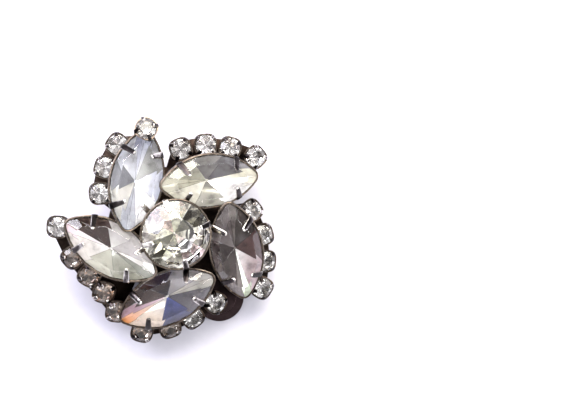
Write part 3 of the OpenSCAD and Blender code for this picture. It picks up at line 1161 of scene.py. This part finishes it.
@dataclass
class Setting:
    """The soldered setting: cups, claws and prongs, with the plate, posts and bar behind them.

    A cup's rim is a list of steps in from the wall's outer face and up, and its lip one of steps
    out from its inner face and up.
    """

    gap: float = STONE_GAP
    wall: float = 0.3
    cup_straight: float = -0.45
    navette_len: float = 15.0
    navette_w: float = 7.6
    navette_low: float = 2.35
    navette_rim: tuple[Spot, ...] = ((0, -0.08), (0.05, 0.02), (0.12, 0.05))
    navette_lip: tuple[Spot, ...] = ((0.08, 0.05), (0, 0.0))
    narrows: Span = (3.8, 2.7)
    lens_tip: float = 0.9
    claw_along: float = 4.4
    centre_d: float = 10.0
    centre_low: float = 2.6
    centre_rim: tuple[Spot, ...] = ((0, -0.08), (0.06, 0.03), (0.14, 0.05))
    centre_lip: tuple[Spot, ...] = ((0.08, 0.05), (0, -0.02))
    centre_narrows: float = 2.2
    centre_sides: int = 64
    pedestal_r: float = 2.6
    pedestal_seat: float = 0.25
    small_d: float = 3.0
    small_wall: float = 0.15
    small_low: float = 2.1
    raised_low: float = 1.5
    small_rim: tuple[Spot, ...] = ((0, -0.1), (0.03, -0.02))
    small_lip: tuple[Spot, ...] = ((0.03, 0.0), (0, -0.08))
    small_narrows: float = 0.4
    small_sides: int = 32
    prong_turn: float = 45
    prong_askew: float = 1.5
    prong_seed: int = 7
    plate_heights: Span = (-0.05, 0.6)
    plate_r: float = 9.4
    plate_edge: float = 0.1
    leaf_margin: float = 1.0
    # Each leaf is this much thinner than the last, so that no two faces lie in one plane.
    leaf_drop: float = 0.012
    leaf_lift: float = 0.008
    leaf_shrink: float = 0.985
    leaf_sides: int = 96
    high_tip: float = 1.0
    post_r: float = 0.45
    post_sides: int = 16
    post_low: float = 0.4
    post_along: float = 5.4
    post_drop: float = 0.25
    bead_share: float = 1.1
    strut_foot: Point = (7.6, 0, -1.0)
    bar_ends: Span = (-8.0, 4.0)
    bar_w: float = 5.4
    bar_thick: float = 0.7
    bar_low: float = -0.6
    bar_edge: float = 0.16

    def navette_ring(self, share: float, wall: float) -> Outline:
        """Draws one of a navette cup's outlines.

        Args:
            share: how far down the cup's slope, from 0 at its straight wall to 1 at its foot.
            wall: how far outside the stone's own outline, in millimetres.

        Returns:
            The outline.
        """
        return lens(
            self.navette_len - share * self.narrows[0] + 2 * wall,
            self.navette_w - share * self.narrows[1] + 2 * wall, self.lens_tip + wall,
        )

    def navette_cup(self) -> Mesh:
        """Builds one navette's cup, open behind.

        Returns:
            The cup in its stone's frame.
        """
        ring, inside, outside = self.navette_ring, self.gap, self.gap + self.wall
        straight, foot = self.cup_straight, -self.navette_low
        return band(
            [(ring(0, outside), straight)]
            + [(ring(0, outside - inset), z) for inset, z in self.navette_rim]
            + [(ring(0, inside + out), z) for out, z in self.navette_lip]
            + [(ring(0, inside), straight), (ring(1, inside), foot), (ring(1, outside), foot)],
            "navette_cup",
        )

    def centre_cup(self) -> Mesh:
        """Builds the centre stone's cup on its pedestal.

        Returns:
            The cup in its stone's frame.
        """
        r, wall, pedestal = self.centre_d / 2 + self.gap, self.wall, self.pedestal_r
        low_r, low = r - self.centre_narrows, -self.centre_low
        straight, foot = self.cup_straight, self.pedestal_seat - CENTRE_RISE
        rings = (
            [(r + wall, straight)]
            + [(r + wall - inset, z) for inset, z in self.centre_rim]
            + [(r + out, z) for out, z in self.centre_lip]
            + [(r, straight), (low_r, low), (pedestal, foot), (pedestal + wall, foot)]
            + [(low_r + wall, low)]
        )
        return band([(circle(ring, self.centre_sides), z) for ring, z in rings], "centre_cup")

    def small_cup(self, low: float) -> Mesh:
        """Builds a small stone's square-cornered cup.

        Args:
            low: how far down it reaches, in millimetres.

        Returns:
            The cup in its stone's frame.
        """
        r, n = self.small_d / 2 + self.gap, self.small_sides
        half, narrows = r + self.small_wall, self.small_narrows
        return band(
            [(soft_square(half - inset, n), z) for inset, z in self.small_rim]
            + [(circle(r + out, n), z) for out, z in self.small_lip]
            + [(circle(r - narrows, n), -low), (soft_square(half - narrows, n), -low)],
            "small_cup",
        )

    def lens_reach(self) -> float:
        """The radius of a navette stone's long arcs."""
        return lens_radius(self.navette_len, self.navette_w, self.lens_tip)

    def navette_claw_places(self) -> list[Matrix]:
        """Finds where the four claws of every navette stand.

        Returns:
            Their places in the setting's frame.
        """
        radius = self.lens_reach()
        offset = radius - self.navette_w / 2
        face = math.degrees(math.acos(self.claw_along / radius))
        return [
            arm.navette_place() @ spin("Z", end) @ shift(0, -side * offset, 0)
            @ spin("Z", side * face)
            for arm in ARMS for end in (0, 180) for side in (1, -1)
        ]

    def post_runs(self, arm: Arm) -> list[list[Vector]]:
        """Finds the posts under an arm's navette cup, and a high tip stone's strut.

        Args:
            arm: the arm.

        Returns:
            The ends of each, in the setting's frame.
        """
        runs = []
        for along in (-self.post_along, self.post_along):
            x, y = arm.point(along, 0)
            droop = along * math.sin(math.radians(arm.droop))
            head = arm.navette_rise - self.navette_low - self.post_drop - droop
            runs.append([Vector((x, y, self.post_low)), Vector((x, y, head))])
        if arm.lift > self.high_tip:
            edge = self.small_d / 2 + self.small_wall - self.small_narrows
            square = arm.tip_place() @ spin("Z", -arm.tip_turn)
            runs.append([
                arm.navette_place() @ Vector(self.strut_foot),
                square @ Vector((edge, 0, -self.raised_low)),
            ])
        return runs

    def leaf_outlines(self) -> list[Outline]:
        """Draws the back plate's round middle and its five leaves.

        Returns:
            Their outlines.
        """
        leaves = [circle(self.plate_r, self.leaf_sides)]
        for arm in ARMS:
            spots = [arm.point(-self.post_along, 0), arm.point(self.post_along, 0)]
            spots += [] if arm.lift > self.high_tip else [arm.tip_point()]
            spots += [arm.row_point(k) for k in range(1, arm.count + 1)]
            leaves.append(round_leaf(spots, self.leaf_margin, self.leaf_sides))
        return leaves

    def back_plate(self) -> Mesh:
        """Builds the plate behind the cups, its leaves over each other in steps of a hair.

        Returns:
            The plate in the setting's frame.
        """
        low, high = self.plate_heights
        edge, shrink = self.plate_edge, self.leaf_shrink
        bm = bmesh.new()
        for k, outline in enumerate(self.leaf_outlines()):
            top, bottom = high - self.leaf_drop * k, low + self.leaf_lift * k
            x0, y0 = (sum(part) / len(outline) for part in zip(*outline))
            inset = [(x0 + (x - x0) * shrink, y0 + (y - y0) * shrink) for x, y in outline]
            leaf = mesh_from(loft(rings_at((
                (inset, bottom), (outline, bottom + edge), (outline, top - edge), (inset, top)
            )), around=False), "leaf", scale=1)
            bm.from_mesh(leaf)
            bpy.data.meshes.remove(leaf)
        return mesh_from(bm, "back_plate", sharp=60)

    def back_bar(self) -> Mesh:
        """Builds the bar across the back, with its edges rounded.

        Returns:
            The bar in the setting's frame.
        """
        (x0, x1), thick = self.bar_ends, self.bar_thick
        middle = shift((x0 + x1) / 2, 0, self.bar_low + thick / 2)
        size = Matrix.Diagonal((x1 - x0, self.bar_w, thick, 1))
        bm = bmesh.new()
        bmesh.ops.create_cube(bm, size=1.0)
        bmesh.ops.transform(bm, verts=bm.verts, matrix=FRAME.along_lever() @ middle @ size)
        bmesh.ops.bevel(
            bm, geom=list(bm.edges), offset=self.bar_edge, segments=3, profile=0.5, affect="EDGES"
        )
        return mesh_from(bm, "back_bar", sharp=60)

    def solder_bead(self) -> Mesh:
        """Builds a bead of solder.

        Returns:
            The bead, round its joint.
        """
        bm = bmesh.new()
        bmesh.ops.create_icosphere(bm, subdivisions=2, radius=self.post_r * self.bead_share)
        return mesh_from(bm, "solder_bead", sharp=80)

    def build(self, repeats: Repeats) -> list[Object]:
        """Builds the whole setting.

        Args:
            repeats: the geometry trees.

        Returns:
            The setting's pieces.
        """
        lying = FRAME.lying()
        centre, navettes = lying @ centre_place(), [lying @ a.navette_place() for a in ARMS]
        raised = [lying @ a.tip_place() for a in ARMS if a.lift > self.high_tip]
        low = [lying @ p for p in row_places()]
        low += [lying @ a.tip_place() for a in ARMS if a.lift <= self.high_tip]
        claw_places = [lying @ p for p in self.navette_claw_places()]
        corners = [p @ spin("Z", self.prong_turn + q) for p in low + raised for q in QUARTERS]
        runs = [[lying @ p for p in run] for arm in ARMS for run in self.post_runs(arm)]
        joints = [Matrix.Translation(run[-1]) for run in runs]
        claw = Claw(
            self.lens_reach(), GIRDLE_HALF, slope=42, over=1.7, seat=0.1, tip_share=0.45
        ).mesh("navette_claw")
        centre_claw = Claw(
            self.centre_d / 2, GIRDLE_HALF, slope=35, over=1.3, seat=0.1
        ).mesh("centre_claw")
        prong = Claw(
            self.small_d / 2, SMALL_GIRDLE_HALF, slope=38, over=0.4, seat=0.05, low=0.8,
            width=0.6, thick=0.27, tip_share=0.85, sides=8,
        ).mesh("prong")
        small_cup, raised_cup = self.small_cup(self.small_low), self.small_cup(self.raised_low)
        pieces = [repeats.set_copies(*row) for row in (
            ("setting_navette_cups", self.navette_cup(), navettes, SETTING_METAL),
            ("setting_centre_cup", self.centre_cup(), [centre], SETTING_METAL),
            ("setting_small_cups", small_cup, low, SETTING_METAL),
            ("setting_raised_cup", raised_cup, raised, SETTING_METAL),
            ("setting_navette_claws", claw, claw_places, CLAW_METAL),
            ("setting_centre_claws", centre_claw, [centre @ spin("Z", q) for q in QUARTERS],
             CLAW_METAL),
            ("setting_prongs", prong, corners, CLAW_METAL, self.prong_askew, self.prong_seed),
        )]
        pieces += [
            repeats.draw_rods("setting_posts", runs, self.post_r, self.post_sides, SETTING_METAL),
            repeats.set_copies("setting_solder", self.solder_bead(), joints, SETTING_METAL),
        ]
        in_metres = lying.copy()
        in_metres.translation = lying.to_translation() * MM
        for name, mesh, finish in (
            ("setting_bar", self.back_bar(), SETTING_METAL),
            ("setting_plate", self.back_plate(), PLATE_METAL),
        ):
            mesh.transform(in_metres)
            mesh.materials.append(finish.material())
            pieces.append(in_scene(mesh, name))
        for piece in pieces:
            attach(piece, "ornament")
            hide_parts("setting")
        return pieces


# Clip


@dataclass
class Clip:
    """The clip behind the ornament: bracket, hinge pin and lever, each with its edges eased."""

    ease_mm: tuple[tuple[str, float], ...] = (
        ("clip_bracket", 0.08), ("hinge_pin", 0.08), ("clip_lever", 0.14)
    )
    rim_deg: float = 35
    crease_deg: float = 40

    def build(self) -> list[Object]:
        """Builds the three pieces from their solids."""
        return [self.eased(node, width) for node, width in self.ease_mm]

    def eased(self, node: str, width: float) -> Object:
        """Copies a solid and rounds its edges.

        Args:
            node: the solid's name.
            width: how wide the rounding is, in millimetres.

        Returns:
            The piece.
        """
        bm = merged_solid(node)
        rims = [e for e in bm.edges if e.calc_face_angle(0) > math.radians(self.rim_deg)]
        bmesh.ops.bevel(
            bm, geom=rims, offset=width * MM, segments=3, profile=0.5, affect="EDGES",
            clamp_overlap=True,
        )
        mesh = mesh_from(bm, node + "_eased", scale=1, sharp=self.crease_deg)
        mesh.materials.append(CLIP_METAL.material())
        piece = in_scene(mesh, node + "_eased")
        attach(piece, "clip_lever" if node == "clip_lever" else "ornament")
        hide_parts(node)
        return piece


# Table, light and camera


@dataclass(frozen=True)
class Softbox:
    """A square soft light: where it hangs and its side in metres, its watts and its colour."""

    name: str
    at: Point
    side: float
    watts: float
    colour: str

    def hang(self, aim: Vector) -> None:
        """Hangs the light.

        Args:
            aim: the point that it faces, in metres.
        """
        light = bpy.data.lights.new(self.name, "AREA")
        light.size, light.energy, light.color = self.side, self.watts, linear(self.colour)[:3]
        holder = in_scene(light, self.name)
        holder.location = self.at
        holder.rotation_euler = (aim - Vector(self.at)).to_track_quat("-Z", "Y").to_euler()


@dataclass
class Studio:
    """The pale card table, the soft lights, the tent round them and the camera. In metres."""

    table_side: float = 2.4
    softboxes: tuple[Softbox, ...] = (
        Softbox("key_softbox", (0.06, 0.35, 0.3), 0.36, 4.8, "#fff9ee"),
        Softbox("fill_softbox", (-0.26, 0.27, 0.3), 0.36, 4.2, "#f4f2ff"),
        Softbox("side_strip", (0.37, -0.08, 0.28), 0.2, 1.3, "#ffffff"),
    )
    aim: Point = (0, 0, 0.008)
    camera_at: Point = (-0.011876, -0.003825, 0.376081)
    camera_right: Point = (0.99681, 0.0035, 0.07997)
    camera_up: Point = (-0.00492, 0.99986, 0.01846)
    lens_mm: float = 153.8
    sensor_mm: float = 36.0
    clip: Span = (0.01, 20.0)
    panel_scale: float = 2.2
    panels: tuple[Stop, ...] = (
        (0.32, "#4d4850"), (0.4, "#8e8a8c"), (0.46, "#d3d1d3"), (0.52, "#ffffff"),
        (0.68, "#f4f3f8"),
    )
    heights: tuple[Stop, ...] = (
        (0.0, "#2f2b2e"), (0.2, "#4a4649"), (0.38, "#ffffff"), (0.975, "#ffffff"),
        (1.0, "#8a868a"),
    )
    tent_strength: float = 1.65

    def build(self) -> None:
        """Builds all of it."""
        self.table()
        for softbox in self.softboxes:
            softbox.hang(Vector(self.aim))
        self.tent()
        self.camera()

    def table(self) -> None:
        """Lays a flat sheet of pale card."""
        half = self.table_side / 2
        corners = [(-half, -half, 0), (half, -half, 0), (half, half, 0), (-half, half, 0)]
        mesh = bpy.data.meshes.new("table")
        mesh.from_pydata(corners, [], [(0, 1, 2, 3)])
        mesh.materials.append(PaleTable().material())
        in_scene(mesh, "table")

    def tent(self) -> None:
        """Pitches a white tent: some darker panels, dark low walls and a dim spot right above."""
        world = bpy.data.worlds.new("studio")
        bpy.context.scene.world = world
        world.use_nodes = True
        tree = world.node_tree
        toward = add_node(tree, "ShaderNodeTexCoord", "Generated")
        noise = add_node(tree, "ShaderNodeTexNoise", "Fac", {
            "Vector": toward, "Scale": self.panel_scale, "Detail": 0.0,
        })
        height = add_node(tree, "ShaderNodeSeparateXYZ", "Z", {"Vector": toward})
        panels = add_node(tree, "ShaderNodeValToRGB", "Color", {"Fac": noise}, self.panels)
        walls = add_node(tree, "ShaderNodeValToRGB", "Color", {"Fac": height}, self.heights)
        colour = add_node(
            tree, "ShaderNodeMix", 2, {0: 1.0, 6: panels, 7: walls}, data_type="RGBA",
            blend_type="MULTIPLY",
        )
        feed(tree, tree.nodes["Background"], {"Color": colour, "Strength": self.tent_strength})

    def camera(self) -> None:
        """A long lens almost straight above, turned a little to the right of the earring."""
        data = bpy.data.cameras.new("camera")
        data.sensor_width, data.lens = self.sensor_mm, self.lens_mm
        data.clip_start, data.clip_end = self.clip
        right, up = Vector(self.camera_right).normalized(), Vector(self.camera_up).normalized()
        back = right.cross(up).normalized()
        turn = Matrix((right, back.cross(right), back)).transposed().to_4x4()
        holder = in_scene(data, "camera")
        holder.matrix_world = Matrix.Translation(self.camera_at) @ turn
        bpy.context.scene.camera = holder


def main() -> None:
    """Builds the earring and its studio, and reports each piece."""
    logging.basicConfig(level=logging.INFO, format="%(name)s: %(message)s")
    bpy.context.scene.view_settings.view_transform = "Standard"
    Studio().build()
    for piece in Stones().build() + Setting().build(Repeats()) + Clip().build():
        LOG.info("%s: %d faces", piece.name, len(piece.data.polygons))


if __name__ == "__main__":
    main()
